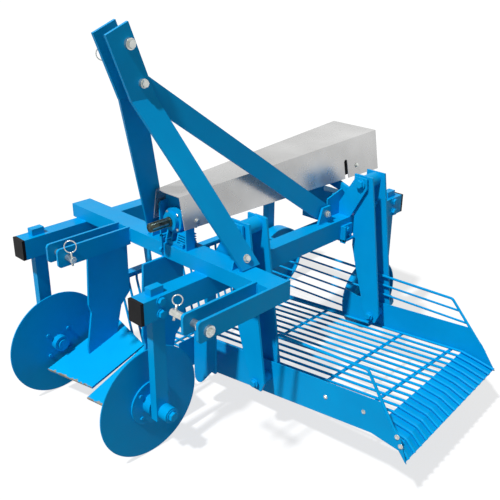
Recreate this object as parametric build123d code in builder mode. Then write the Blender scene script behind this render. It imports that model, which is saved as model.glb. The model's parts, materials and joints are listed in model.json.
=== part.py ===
from build123d import *
import math
import os

os.makedirs("parts", exist_ok=True)

# Single-row potato digger on a three-point hitch, with a shaken side-discharge sieve.
# Millimetres. Z is up and zero on the ground, -Y is the tractor side, +X the discharge side.

# Frame of reference
x_end = 374.2            # discharge-side end of the front cross tube
y_face = -501.5          # tractor-side face of the front cross tube
x_hitch = x_end - 450.0  # middle of the three-point hitch
run = 0.6                # running clearance at pins and axles

# Main frame
cross_w = 98.0           # cross tube along Y
cross_h = 63.0           # cross tube height
cross_l = 1252.0
wall = 6.0               # tube wall
long_w = 75.0            # longitudinal tube along X
long_h = 92.0
long_top = 766.0         # top face of the longitudinal tubes
long_y0 = y_face - 316.0
long_y1 = y_face + 1351.0
x_near = x_end - 369.5   # middle of the discharge-side longitudinal
x_far = x_end - 1185.5   # middle of the other longitudinal
cap_len = 14.0           # plastic cap, part outside the tube
cap_in = 25.0            # plastic cap, part inside the tube
rear_cross_y = y_face + 1170.0
rear_cross_w = 60.0
rear_cross_h = 60.0

# Coulter discs and support wheels
disc_r = 244.0
disc_t = 6.0
disc_y = y_face - 228.0
disc_off = 74.0          # disc plane inboard of the longitudinal's middle
stalk_w = 36.0           # stalk bar along X
stalk_l = 60.0           # stalk bar along Y
stalk_over = 30.0        # stalk end above the tube
flange_r = 98.0          # hub flange
flange_t = 8.0
barrel_r = 45.0          # hub barrel between flange and stalk
boss_r = 33.0            # axle boss outside the stalk
boss_l = 46.0
hub_gap = 5.0            # clear between hub and stalk
axle_r = 12.5
cap_r = 24.0             # axle collars
wheel_r = 190.0
wheel_w = 66.0
wheel_y = y_face + 1285.0
wheel_off = 72.0

# Lower hitch plates and mast
hitch_t = 12.0
hitch_gap = 63.0         # inside width between the two plates of a clevis
hitch_top = long_top + 69.0
hitch_bot = long_top - 11.0
hitch_y0 = y_face - 356.0
hitch_round = 14.0
hitch_pin_y = y_face - 312.0
hitch_pin_z = long_top + 26.0
hitch_half = 412.5       # half of the lower pin spread
pin_r = 14.0
mast_t = 12.0
mast_gap = 56.0          # inside width between the mast plates at the top
top_pin_y = y_face - 257.0
top_pin_z = long_top + 897.0
top_pin_r = 12.5
mast_bend_z = top_pin_z - 191.0
brace_y = y_face - 210.0
brace_z = mast_bend_z + 58.0
brace_w = 82.0
bolt_r = 10.0
bolt_head_r = 16.0
lug_y = y_face + 770.0
lug_z = long_top + 46.0

# Sieve tray
floor_x = x_end - 200.0  # place where the bar level is given
floor_z = 214.0          # bar middle line there, at the front wall
floor_fall = 6.0         # the same line lies this much lower at the rear wall
slope_front = 0.142      # rise towards the discharge end at the front wall
slope_rear = 0.105       # and at the rear wall
sieve_y0 = y_face + 204.0
sieve_y1 = y_face + 1003.0
bar_r = 6.0
bar_count = 17
sheet_t = 4.0
sole_drop = 14.0         # lower edge of the walls below the bar middle line
front_high = 137.0       # front wall above the bar middle line
rear_high = 124.0
lip_len = 160.0          # discharge end that bends down
tip_x0 = x_end + 500.0   # finger tips at the front wall
tip_x1 = x_end + 437.0   # finger tips at the rear wall
tip_z = 235.0
knee_x0 = tip_x0 - 35.0  # bend in the fingers at the front wall
knee_z0 = 277.0
knee_x1 = tip_x1 - 96.0  # bend in the fingers at the rear wall
knee_z1 = 250.0
rail_top_z = 480.0       # rail over the closed end
rail_x = x_end - 1100.0
rail_w = 44.0
rail_t = 8.0
rail_h = 44.0
mouth_y = y_face + 106.0  # front of the short bars behind the share
mouth_x = x_end - 650.0
end_bend = 24.0

# Rockers
rock_x = x_end - 283.0   # upper pivot
rock_z = long_top + 174.0
pin_x = x_end - 185.0    # lower pin, in the sieve walls
pin_z = 290.0
rock_t = 10.0
rock_w = 100.0
rock_gap = 86.0          # inside width between the two plates
rock_y0 = y_face + 178.0  # middle of the front fork
rock_y1 = y_face + 983.0  # middle of the rear fork
pivot_r = 15.0
wall_pin_r = 12.0
link_w = 44.0
link_t = 12.0
link_x = x_far
link_z = long_top - long_h - 38.0
link_pin_z = 330.0
link_lean = (pin_x - rock_x) * (link_z - link_pin_z) / (rock_z - pin_z)

# Drive
shaft_x = x_end - 560.0
shaft_z = long_top + 164.0
stub_r = 17.45
stub_l = 93.0
shaft_r = 20.0
shaft_y0 = y_face - 95.0
shaft_y1 = y_face + 1010.0
tube_r = 26.0
throw = 3.4              # eccentric throw
ecc_r = 34.0
lever = 118.0            # rod pin below the upper rocker pivot, along the arm
rod_y = y_face + 977.0
rod_pin_r = 8.0


def across(y):
    # 0 at the front wall of the sieve, 1 at its rear wall
    return (y - sieve_y0) / (sieve_y1 - sieve_y0)


def floor_at(x, y):
    slope = slope_front + (slope_rear - slope_front) * across(y)
    return floor_z - floor_fall * across(y) + slope * (x - floor_x)


def finger(y):
    # line of the bent discharge end: start, knee and tip, as (x, z)
    t = across(y)
    x_tip = tip_x0 + (tip_x1 - tip_x0) * t
    knee = (knee_x0 + (knee_x1 - knee_x0) * t, knee_z0 + (knee_z1 - knee_z0) * t)
    return [(x_tip - lip_len, floor_at(x_tip - lip_len, y)), knee, (x_tip, tip_z)]


def block(x0, x1, y0, y1, z0, z1, mode=Mode.ADD):
    with Locations(((x0 + x1) / 2, (y0 + y1) / 2, (z0 + z1) / 2)):
        Box(x1 - x0, y1 - y0, z1 - z0, mode=mode)


def rod(path, radius, bend=0.0, mode=Mode.ADD):
    with BuildLine() as line:
        if bend > 0:
            FilletPolyline(*path, radius=bend)
        else:
            Polyline(*path)
    with BuildSketch(Plane(origin=line.line @ 0, z_dir=line.line % 0)) as section:
        Circle(radius)
    sweep(section.sketch, path=line.line, mode=mode)


def disc_x(x, y, z, r, length, mode=Mode.ADD):
    with BuildSketch(Plane(origin=(x, y, z), x_dir=(0, 1, 0), z_dir=(1, 0, 0))) as section:
        Circle(r)
    extrude(section.sketch, amount=length, mode=mode)


def disc_y_axis(x, y, z, r, length, mode=Mode.ADD):
    with BuildSketch(Plane(origin=(x, y, z), x_dir=(1, 0, 0), z_dir=(0, 1, 0))) as section:
        Circle(r)
    extrude(section.sketch, amount=length, mode=mode)


def plate_x(x, points, t, mode=Mode.ADD):
    # plate with its face across X, outline given as (y, z)
    with BuildSketch(Plane(origin=(x, 0, 0), x_dir=(0, 1, 0), z_dir=(1, 0, 0))) as section:
        with BuildLine():
            Polyline(*points, close=True)
        make_face()
    extrude(section.sketch, amount=t, mode=mode)


def plate_y(y, points, t, mode=Mode.ADD):
    # plate with its face across Y, outline given as (x, z)
    with BuildSketch(Plane(origin=(0, y, 0), x_dir=(-1, 0, 0), z_dir=(0, 1, 0))) as section:
        with BuildLine():
            Polyline(*[(-a, b) for a, b in points], close=True)
        make_face()
    extrude(section.sketch, amount=t, mode=mode)


def save(part, label):
    part.part.label = label
    export_step(part.part, "parts/" + label + ".step")


# Front cross tube, lying on the two longitudinal tubes
with BuildPart() as cross_tube:
    block(x_end - cross_l, x_end - hitch_t, y_face, y_face + cross_w, long_top, long_top + cross_h)
    block(x_end - cross_l + wall, x_end - hitch_t, y_face + wall, y_face + cross_w - wall,
          long_top + wall, long_top + cross_h - wall, Mode.SUBTRACT)
save(cross_tube, "front_cross_tube")

# Longitudinal tubes with square windows for the stalks
front_stalk_y = disc_y - 8.0
rear_stalk_y = wheel_y
for label, xc in (("longitudinal_near", x_near), ("longitudinal_far", x_far)):
    with BuildPart() as longitudinal:
        block(xc - long_w / 2, xc + long_w / 2, long_y0, long_y1, long_top - long_h, long_top)
        block(xc - long_w / 2 + wall, xc + long_w / 2 - wall, long_y0, long_y1,
              long_top - long_h + wall, long_top - wall, Mode.SUBTRACT)
        for yc in (front_stalk_y, rear_stalk_y):
            block(xc - stalk_w / 2, xc + stalk_w / 2, yc - stalk_l / 2, yc + stalk_l / 2,
                  long_top - long_h - 1, long_top + 1, Mode.SUBTRACT)
    save(longitudinal, label)

# Plastic caps in the four open tube ends
with BuildPart() as caps:
    for xc in (x_near, x_far):
        for y_open, out in ((long_y0, -1), (long_y1, 1)):
            ya, yb = sorted((y_open, y_open + out * cap_len))
            block(xc - long_w / 2, xc + long_w / 2, ya, yb, long_top - long_h, long_top)
            ya, yb = sorted((y_open, y_open - out * cap_in))
            block(xc - long_w / 2 + wall, xc + long_w / 2 - wall, ya, yb,
                  long_top - long_h + wall, long_top - wall)
save(caps, "tube_caps")

# Rear cross tube between the longitudinals
with BuildPart() as rear_cross:
    xa = x_far + long_w / 2
    xb = x_near - long_w / 2
    block(xa, xb, rear_cross_y - rear_cross_w / 2, rear_cross_y + rear_cross_w / 2,
          long_top - 5 - rear_cross_h, long_top - 5)
    block(xa, xb, rear_cross_y - rear_cross_w / 2 + wall, rear_cross_y + rear_cross_w / 2 - wall,
          long_top - 5 - rear_cross_h + wall, long_top - 5 - wall, Mode.SUBTRACT)
save(rear_cross, "rear_cross_tube")

# Lower hitch clevises, two plates each, welded to the front of the cross tube
for label, side in (("hitch_plates_near", 1), ("hitch_plates_far", -1)):
    with BuildPart() as clevis:
        xc = x_hitch + side * hitch_half
        for x0 in (xc - hitch_gap / 2 - hitch_t, xc + hitch_gap / 2):
            y_back = y_face
            if x0 + hitch_t > x_end - 1:
                y_back = y_face + cross_w
            with BuildSketch(Plane(origin=(x0, 0, 0), x_dir=(0, 1, 0), z_dir=(1, 0, 0))) as sk:
                with Locations(((hitch_y0 + y_back) / 2, (hitch_top + hitch_bot) / 2)):
                    Rectangle(y_back - hitch_y0, hitch_top - hitch_bot)
                fillet(sk.vertices().group_by(Axis.X)[0], radius=hitch_round)
            extrude(amount=hitch_t)
        disc_x(xc - hitch_gap / 2 - hitch_t - 1, hitch_pin_y, hitch_pin_z, pin_r + run,
               hitch_gap + 2 * hitch_t + 2, Mode.SUBTRACT)
    save(clevis, label)

# Lower hitch pins with heads
for label, side in (("hitch_pin_near", 1), ("hitch_pin_far", -1)):
    with BuildPart() as pin:
        xc = x_hitch + side * hitch_half
        half = hitch_gap / 2 + hitch_t
        disc_x(xc - half - 26, hitch_pin_y, hitch_pin_z, pin_r, 2 * half + 26 + 6)
        disc_x(xc + half, hitch_pin_y, hitch_pin_z, pin_r + 7, 12)
    save(pin, label)

# Mast: two flat bars, upright and parallel at the top, spread out below the bend
mast_foot_x = 270.0
mast_foot_z = long_top + cross_h
mast_y0 = y_face - 258.0  # edges of the bar at the bend
mast_y1 = y_face - 153.0
for label, side in (("mast_leg_near", 1), ("mast_leg_far", -1)):
    with BuildPart() as mast:
        xi = x_hitch + side * mast_gap / 2
        x0 = xi if side > 0 else xi - mast_t
        upper = [(top_pin_y - 88, top_pin_z + 34), (top_pin_y + 3, top_pin_z + 70),
                 (mast_y1, mast_bend_z), (mast_y0, mast_bend_z)]
        plate_x(x0, upper, mast_t)
        run_x = mast_foot_x - mast_gap / 2
        fall = mast_bend_z - mast_foot_z
        slant = math.hypot(run_x, fall)
        tilt = (side * run_x / slant, 0, -fall / slant)
        nrm = (side * fall / slant, 0, run_x / slant)
        base = Plane(origin=(xi, 0, mast_bend_z), x_dir=(0, 1, 0), z_dir=nrm)
        flip = 1 if base.y_dir.Z < 0 else -1
        with BuildSketch(base):
            with BuildLine():
                Polyline((mast_y0, 0), (mast_y1, 0), (y_face + cross_w + 24, flip * slant),
                         (y_face + 28, flip * slant), close=True)
            make_face()
        extrude(amount=mast_t)
        for yy, zz, rr in ((top_pin_y, top_pin_z, top_pin_r + run), (brace_y, brace_z, bolt_r + run)):
            disc_x(x0 - 1, yy, zz, rr, mast_t + 2, Mode.SUBTRACT)
    save(mast, label)

# Feet that hold the mast legs on the cross tube
for label, side in (("mast_foot_near", 1), ("mast_foot_far", -1)):
    with BuildPart() as foot:
        xm = x_hitch + side * (mast_foot_x - 34)
        plate_x(xm - 5, [(y_face + 12, mast_foot_z), (y_face + cross_w - 6, mast_foot_z),
                         (y_face + cross_w - 16, mast_foot_z + 62), (y_face + 30, mast_foot_z + 62)], 10)
    save(foot, label)

# Top link pin
with BuildPart() as top_pin:
    half = mast_gap / 2 + mast_t
    disc_x(x_hitch - half - 30, top_pin_y, top_pin_z, top_pin_r, 2 * half + 36)
    disc_x(x_hitch + half, top_pin_y, top_pin_z, top_pin_r + 7, 12)
save(top_pin, "top_link_pin")

# Brace from the mast to a lug on the discharge-side longitudinal
brace_t = 12.0
lug_x = x_near - 4.0
with BuildPart() as brace:
    p0 = Vector(x_hitch, brace_y, brace_z)
    p1 = Vector(lug_x - 10, lug_y, lug_z)
    along = (p1 - p0).normalized()
    side_dir = Vector(1, 0, 0)
    nrm = (side_dir - along * side_dir.dot(along)).normalized()
    length = (p1 - p0).length
    with BuildSketch(Plane(origin=p0 - nrm * brace_t / 2, x_dir=along, z_dir=nrm)):
        with Locations((length / 2, 0)):
            SlotCenterToCenter(length, brace_w)
    extrude(amount=brace_t)
    disc_x(x_hitch - 20, brace_y, brace_z, bolt_r + run, 40, Mode.SUBTRACT)
    disc_x(lug_x - 36, lug_y, lug_z, bolt_r + run, 50, Mode.SUBTRACT)
save(brace, "brace_bar")
with BuildPart() as brace_bolt:
    half = mast_gap / 2 + mast_t
    disc_x(x_hitch - half - 12, brace_y, brace_z, bolt_r, 2 * half + 24)
    disc_x(x_hitch + half, brace_y, brace_z, bolt_head_r, 12)
    disc_x(x_hitch - half - 12, brace_y, brace_z, bolt_head_r, 12)
save(brace_bolt, "mast_bolt")
with BuildPart() as lug:
    plate_x(lug_x, [(lug_y - 55, long_top), (lug_y + 45, long_top),
                    (lug_y + 30, lug_z + 32), (lug_y - 25, lug_z + 32)], brace_t)
    disc_x(lug_x - 1, lug_y, lug_z, bolt_r + run, brace_t + 2, Mode.SUBTRACT)
save(lug, "brace_lug")
with BuildPart() as lug_bolt:
    disc_x(lug_x - 32, lug_y, lug_z, bolt_r, 60)
    disc_x(lug_x - 32, lug_y, lug_z, bolt_head_r, 10)
    disc_x(lug_x + brace_t, lug_y, lug_z, bolt_head_r, 10)
save(lug_bolt, "brace_bolt")

# Stalks: flat bars clamped in the tube windows
stalks = (
    ("coulter_stalk_near", x_near, front_stalk_y, disc_r),
    ("coulter_stalk_far", x_far, front_stalk_y, disc_r),
    ("wheel_stalk_near", x_near, rear_stalk_y, wheel_r),
    ("wheel_stalk_far", x_far, rear_stalk_y, wheel_r),
)
for label, xc, yc, zc in stalks:
    inward = -1 if xc == x_near else 1
    front = "coulter" in label
    off = disc_off if front else wheel_off
    y_axle = disc_y if front else wheel_y
    with BuildPart() as stalk:
        block(xc - stalk_w / 2, xc + stalk_w / 2, yc - stalk_l / 2, yc + stalk_l / 2,
              zc - 36, long_top + stalk_over)
        x_in = xc + inward * (off + wheel_w / 2 + 12)
        x_out = xc - inward * (stalk_w / 2 + boss_l)
        disc_x(min(x_in, x_out), y_axle, zc, axle_r, abs(x_in - x_out))
        x_boss = xc - inward * stalk_w / 2
        disc_x(min(x_boss, x_out), y_axle, zc, boss_r, boss_l)
        x_cap = x_in - inward * 6
        disc_x(min(x_in, x_cap), y_axle, zc, cap_r, 6)
    save(stalk, label)


def hub(xp, inward, y, z):
    # flange on the stalk side, barrel towards the stalk, short sleeve on the inner side
    face = disc_t / 2
    reach = disc_off - stalk_w / 2 - hub_gap
    outer = xp - inward * face
    disc_x(min(outer, outer - inward * flange_t), y, z, flange_r, flange_t)
    disc_x(min(xp, xp - inward * reach), y, z, barrel_r, reach)
    disc_x(min(xp, xp + inward * wheel_w / 2), y, z, barrel_r - 8, wheel_w / 2)


# Coulter discs with hubs
for label, xc in (("coulter_disc_near", x_near), ("coulter_disc_far", x_far)):
    inward = -1 if xc == x_near else 1
    with BuildPart() as coulter:
        xp = xc + inward * disc_off
        with BuildSketch(Plane(origin=(xp - disc_t / 2, disc_y, disc_r), x_dir=(0, 1, 0), z_dir=(1, 0, 0))):
            Circle(disc_r)
        extrude(amount=disc_t)
        chamfer(coulter.edges().filter_by(GeomType.CIRCLE), length=2.0)
        hub(xp, inward, disc_y, disc_r)
        disc_x(xp - wheel_w, disc_y, disc_r, axle_r + run, 2 * wheel_w, Mode.SUBTRACT)
    save(coulter, label)

# Support wheels: rim, disc and hub
rim_t = 8.0
for label, xc in (("wheel_near", x_near), ("wheel_far", x_far)):
    inward = -1 if xc == x_near else 1
    with BuildPart() as wheel:
        xp = xc + inward * wheel_off
        disc_x(xp - wheel_w / 2, wheel_y, wheel_r, wheel_r, wheel_w)
        disc_x(xp - wheel_w / 2 - 1, wheel_y, wheel_r, wheel_r - rim_t, wheel_w / 2 - 2, Mode.SUBTRACT)
        disc_x(xp + 3, wheel_y, wheel_r, wheel_r - rim_t, wheel_w / 2, Mode.SUBTRACT)
        hub(xp, inward, wheel_y, wheel_r)
        disc_x(xp - wheel_w, wheel_y, wheel_r, axle_r + run, 2 * wheel_w, Mode.SUBTRACT)
    save(wheel, label)

# Share blades and the two carriers that hold them under the cross tube
blade_t = 10.0
blades = (
    ("share_blade_far", x_end - 1078, x_end - 812, y_face - 318, y_face - 262, y_face + 74, 150.0, 272.0),
    ("share_blade_near", x_end - 800, x_end - 500, y_face - 300, y_face - 250, y_face + 40, 120.0, 250.0),
)


def blade_at(row, x, y):
    name, x0, x1, y0, y1, y2, z0, z1 = row
    up = (z1 - z0) / (y2 - y0)
    return z0 + up * (y - y0 - (y1 - y0) * (x - x0) / (x1 - x0))


blade_parts = []
for row in blades:
    name, x0, x1, y0, y1, y2, z0, z1 = row
    corners = [Vector(x, y, blade_at(row, x, y)) for x, y in ((x0, y0), (x1, y1), (x1, y2 - 40), (x0, y2))]
    blade_plane = Plane(origin=corners[0], x_dir=(corners[1] - corners[0]).normalized(),
                        z_dir=(corners[1] - corners[0]).cross(corners[3] - corners[0]).normalized())
    flat = [blade_plane.to_local_coords(v) for v in corners]
    with BuildPart() as blade:
        with BuildSketch(blade_plane):
            with BuildLine():
                Polyline(*[(v.X, v.Y) for v in flat], close=True)
            make_face()
        extrude(amount=-blade_t)
    save(blade, name)
    blade_parts.append(blade.part)

for name, xc, k in (("share_carrier_far", x_end - 990, 0), ("share_carrier_near", x_end - 600, 1)):
    sole = [(yy, blade_at(blades[k], xc, yy) - blade_t / 2) for yy in (y_face + 10, y_face - 150)]
    with BuildPart() as carrier:
        plate_x(xc - 6, [(y_face - 108, long_top), (y_face + 100, long_top), (y_face + 98, 434),
                         (y_face + 46, 380)] + sole
                + [(y_face - 150, sole[1][1] + 45), (y_face - 118, 400), (y_face - 130, 441)], 12)
        add(blade_parts[k], mode=Mode.SUBTRACT)
    save(carrier, name)

# Drive cover: a folded sheet, wider and higher at the rear
cover_y0 = y_face - 6
cover_y1 = y_face + 1262
cover_t = 3.0
slot_y = y_face + 1012    # notch in the lower edge of the cover's side
slot_z = shaft_z + 56
slot_r = 12.0
cover_front = ((x_end - 645, shaft_z - 5), (x_end - 622, shaft_z + 125),
               (x_end - 480, shaft_z + 125), (x_end - 452, shaft_z - 5))
cover_rear = ((x_end - 752, shaft_z - 25), (x_end - 722, shaft_z + 166),
              (x_end - 462, shaft_z + 166), (x_end - 430, shaft_z - 25))


def cover_outline(y, inset, drop):
    t = (y - cover_y0) / (cover_y1 - cover_y0)
    p = [(a[0] + (b[0] - a[0]) * t, a[1] + (b[1] - a[1]) * t) for a, b in zip(cover_front, cover_rear)]
    k0 = drop / (p[1][1] - p[0][1])
    k3 = drop / (p[2][1] - p[3][1])
    return [(p[0][0] + inset + (p[0][0] - p[1][0]) * k0, p[0][1] - drop), (p[1][0] + inset, p[1][1] - inset),
            (p[2][0] - inset, p[2][1] - inset), (p[3][0] - inset + (p[3][0] - p[2][0]) * k3, p[3][1] - drop)]


with BuildPart() as cover:
    for inset, drop, over, mode in ((0, 0, 0, Mode.ADD), (cover_t, 20, 2, Mode.SUBTRACT)):
        for yy in (cover_y0 - over, cover_y1 + over):
            with BuildSketch(Plane(origin=(0, yy, 0), x_dir=(-1, 0, 0), z_dir=(0, 1, 0))):
                with BuildLine():
                    Polyline(*[(-u, v) for u, v in cover_outline(yy, inset, drop)], close=True)
                make_face()
        loft(ruled=True, mode=mode)
    block(x_end - 500, x_end - 400, slot_y - slot_r, slot_y + slot_r, shaft_z - 40, slot_z, Mode.SUBTRACT)
    disc_x(x_end - 500, slot_y, slot_z, slot_r, 100, Mode.SUBTRACT)
save(cover, "drive_cover")

# Bearing plates that also hold the cover up
front_former_y = y_face + 52
rear_former_y = y_face + 912
former_t = 8.0
base_z = long_top + cross_h
with BuildPart() as front_bearing:
    plate_y(front_former_y, cover_outline(front_former_y, cover_t + 0.2, 4), former_t)
    block(shaft_x - 50, shaft_x + 50, front_former_y, front_former_y + former_t, base_z, shaft_z)
    disc_y_axis(shaft_x, y_face + 24, shaft_z, 52, front_former_y - y_face - 24)
    disc_y_axis(shaft_x, y_face + 6, shaft_z, 38, 20)
    block(shaft_x - 72, shaft_x + 72, y_face + 10, y_face + 86, base_z, base_z + 16)
    for dx in (-36, -4, 28):
        plate_x(shaft_x + dx, [(y_face + 12, base_z + 16), (front_former_y, base_z + 16),
                               (front_former_y, shaft_z - 30), (y_face + 26, shaft_z - 40)], 8)
    for xs, high in ((x_end - 626, 171), (x_end - 470, 118)):
        plate_x(xs, [(y_face + 8, base_z), (front_former_y, base_z), (front_former_y, base_z + high),
                     (y_face + 16, base_z + high), (y_face + 8, base_z + high - 12)], former_t)
    disc_y_axis(shaft_x, y_face - 40, shaft_z, shaft_r + run, 120, Mode.SUBTRACT)
save(front_bearing, "front_bearing")
with BuildPart() as bearing_bridge:
    stay_x = x_near - long_w / 2
    plate_y(rear_former_y, cover_outline(rear_former_y, cover_t + 0.2, 4), former_t)
    block(shaft_x - 60, stay_x, rear_former_y, rear_former_y + former_t, long_top - 70, long_top - 10)
    block(shaft_x - 60, shaft_x + 60, rear_former_y, rear_former_y + former_t, long_top - 12, shaft_z)
    disc_y_axis(shaft_x, rear_former_y - 12, shaft_z, 42, 34)
    block(shaft_x, stay_x, rear_former_y, rear_former_y + former_t, long_top, long_top + 90)
    plate_x(stay_x, [(y_face + 826, long_top), (y_face + 952, long_top), (y_face + 952, long_top + 96),
                     (y_face + 930, long_top + 118), (y_face + 826, long_top + 92)], 7)
    disc_y_axis(shaft_x, rear_former_y - 40, shaft_z, shaft_r + run, 120, Mode.SUBTRACT)
save(bearing_bridge, "rear_bearing_bridge")

# Drive shaft with a free stub, a shoulder behind it, and the eccentric
with BuildPart() as shaft:
    disc_y_axis(shaft_x, shaft_y0, shaft_z, stub_r, stub_l)
    disc_y_axis(shaft_x, shaft_y0 + stub_l, shaft_z, shaft_r, shaft_y1 - shaft_y0 - stub_l)
    disc_y_axis(shaft_x, y_face + 66, shaft_z, tube_r, 820)
    disc_y_axis(shaft_x, rod_y - 21, shaft_z + throw, ecc_r, 42)
save(shaft, "drive_shaft")

# Connecting rod from the eccentric to the rear rocker
arm_len = math.hypot(pin_x - rock_x, rock_z - pin_z)
lever_x = rock_x + lever * (pin_x - rock_x) / arm_len
lever_z = rock_z - lever * (rock_z - pin_z) / arm_len
rod_half = 12.0
with BuildPart() as conrod:
    disc_y_axis(shaft_x, rod_y - rod_half, shaft_z, 60, 2 * rod_half)
    plate_y(rod_y - 8, [(shaft_x + 30, shaft_z - 50), (lever_x, lever_z - 14), (lever_x, lever_z + 14),
                        (shaft_x + 46, shaft_z - 6)], 16)
    disc_y_axis(lever_x, rod_y - rod_half, lever_z, 22, 2 * rod_half)
    disc_y_axis(shaft_x, rod_y - 20, shaft_z, ecc_r + 2 * throw + 1.0, 40, Mode.SUBTRACT)
    disc_y_axis(lever_x, rod_y - 20, lever_z, rod_pin_r + run, 40, Mode.SUBTRACT)
save(conrod, "connecting_rod")

# Rockers beside the discharge-side longitudinal: forks of two leaning plates
rock_side = 37.0         # left edge beside the tube, from the pivot
rockers = (("rocker_rear", rock_y1), ("rocker_front", rock_y0))
for label, yc in rockers:
    with BuildPart() as rocker:
        for y0 in (yc - rock_gap / 2 - rock_t, yc + rock_gap / 2):
            plate_y(y0, [(rock_x - rock_w / 2, rock_z + 34), (rock_x + rock_w / 2, rock_z + 34),
                         (pin_x + 46, pin_z + 10), (pin_x + 28, pin_z - 34), (pin_x - 28, pin_z - 34),
                         (pin_x - 40, pin_z + 10), (rock_x - 6, pin_z + 215),
                         (rock_x - rock_side, pin_z + 330), (rock_x - rock_side, rock_z - 60),
                         (rock_x - rock_w / 2, rock_z - 30)], rock_t)
        disc_y_axis(rock_x, yc - rock_gap / 2, rock_z, 32, rock_gap)
        disc_y_axis(rock_x, yc - rock_gap, rock_z, pivot_r + run, 2 * rock_gap, Mode.SUBTRACT)
        disc_y_axis(pin_x, yc - rock_gap, pin_z, wall_pin_r + run, 2 * rock_gap, Mode.SUBTRACT)
        if label == "rocker_rear":
            disc_y_axis(lever_x, yc - rock_gap / 2 - 1, lever_z, rod_pin_r, rock_gap + 2)
    save(rocker, label)

# Brackets and pivot pins that carry the rockers on the tube
brackets = (("rocker_bracket_rear", rock_y1), ("rocker_bracket_front", rock_y0))
for label, yc in brackets:
    with BuildPart() as bracket:
        half = rock_gap / 2 + rock_t + 6
        disc_y_axis(rock_x, yc - half - 16, rock_z, pivot_r, 2 * half + 32)
        for y0 in (yc - half - 10, yc + half):
            plate_y(y0, [(x_near - 30, long_top), (x_near + 37, long_top),
                         (rock_x + 34, rock_z - 20), (rock_x + 30, rock_z + 28),
                         (rock_x - 30, rock_z + 28), (x_near - 30, long_top + 60)], 10)
    save(bracket, label)

# Links at the closed side of the sieve, leaning like the rockers
links = (("sieve_link_rear", sieve_y1 - 90), ("sieve_link_front", sieve_y0 + 150))
link_pin_x = link_x + link_lean
for label, yc in links:
    with BuildPart() as link:
        plate_y(yc - link_t / 2, [(link_x - link_w / 2, link_z + 26), (link_x + link_w / 2, link_z + 26),
                                  (link_pin_x + 20, link_pin_z - 24), (link_pin_x - 20, link_pin_z - 24)], link_t)
        disc_y_axis(link_x, yc - 20, link_z, wall_pin_r + run, 40, Mode.SUBTRACT)
        disc_y_axis(link_pin_x, yc - 20, link_pin_z, wall_pin_r + 2 * run, 40, Mode.SUBTRACT)
    save(link, label)
with BuildPart() as link_pins:
    for label, yc in links:
        disc_y_axis(link_x, yc - link_t, link_z, wall_pin_r, 3 * link_t)
        block(link_x - 26, link_x + 26, yc + link_t, yc + 2 * link_t, link_z - 26, long_top - long_h)
save(link_pins, "link_brackets")

# Sieve bars: a closed end that slants down, and a floor that ends in fingers bent down
bar_end_x = rail_x + 110
seam_x = bar_end_x + 26
bar_pitch = (sieve_y1 - sieve_y0 - 4 * bar_r) / (bar_count - 1)
bar_ys = [sieve_y0 + 2 * bar_r + i * bar_pitch for i in range(bar_count)]
mouth_ys = [bar_ys[0] - 2 * bar_pitch, bar_ys[0] - bar_pitch]


def end_path(y, x_stop):
    x0 = rail_x + 18
    return [(x0, y, rail_top_z - rail_t), (x0, y, rail_top_z - rail_t - 2 * end_bend),
            (bar_end_x, y, floor_at(bar_end_x, y)), (x_stop, y, floor_at(x_stop, y))]


with BuildPart() as end_bars:
    for y in bar_ys:
        rod(end_path(y, seam_x), bar_r, end_bend)
save(end_bars, "closed_end_bars")
with BuildPart() as floor_bars:
    for y in bar_ys:
        rod([(seam_x, y, floor_at(seam_x, y))] + [(xx, y, zz) for xx, zz in finger(y)], bar_r, 36)
save(floor_bars, "floor_bars")

# Short bars that take the crop behind the share
with BuildPart() as mouth_bars:
    for y in mouth_ys:
        rod(end_path(y, mouth_x - 0.7), bar_r, end_bend)
save(mouth_bars, "mouth_bars")

# Rail over the closed end, with the arms that hang on the links
with BuildPart() as end_rail:
    ya = mouth_y
    yb = sieve_y1 + 2
    block(rail_x - rail_t / 2, rail_x - rail_t / 2 + rail_w, ya, yb, rail_top_z - rail_t, rail_top_z)
    block(rail_x - rail_t / 2, rail_x + rail_t / 2, ya, yb, rail_top_z - rail_h, rail_top_z - rail_t)
    for label, yc in links:
        disc_y_axis(link_pin_x, yc - link_t, link_pin_z, wall_pin_r, 2 * link_t)
        plate_y(yc + link_t, [(link_pin_x - 20, link_pin_z - 20), (rail_x + 4, link_pin_z + 10),
                              (rail_x + 4, rail_top_z - rail_h), (rail_x - 8, rail_top_z - rail_h),
                              (link_pin_x - 20, link_pin_z + 24)], 10)
save(end_rail, "closed_end_rail")

# Front wall of the sieve with the side plate of the mouth
with BuildPart() as front_wall:
    y0 = sieve_y0
    line = finger(y0)
    xa = mouth_x
    xb = line[0][0]
    pts = [(xa, floor_at(xa, y0) - sole_drop), (xb, line[0][1] - sole_drop), (line[1][0], line[1][1] - sole_drop),
           (tip_x0, tip_z - sole_drop), (line[1][0] + 4, line[1][1] + 30), (line[1][0] - 38, line[1][1] + 66),
           (xb + 26, line[0][1] + front_high), (xa, floor_at(xa, y0) + front_high + 18)]
    plate_y(y0 - sheet_t, pts, sheet_t)
    disc_y_axis(pin_x, rock_y0 - rock_gap / 2 - rock_t - 12, pin_z, wall_pin_r, rock_gap + 2 * rock_t + 24)
    disc_y_axis(pin_x, rock_y0 - rock_gap / 2 + 6, pin_z, 22, y0 - rock_y0 + rock_gap / 2 - 6)
    disc_y_axis(pin_x, y0 - sheet_t, pin_z, 22, rock_y0 + rock_gap / 2 - 6 - y0 + sheet_t)
save(front_wall, "sieve_front_wall")
with BuildPart() as mouth_plate:
    block(mouth_x, mouth_x + sheet_t, mouth_y, sieve_y0 - sheet_t, floor_at(mouth_x, mouth_y) - sole_drop,
          floor_at(mouth_x, mouth_y) + front_high)
save(mouth_plate, "mouth_side_plate")

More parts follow.
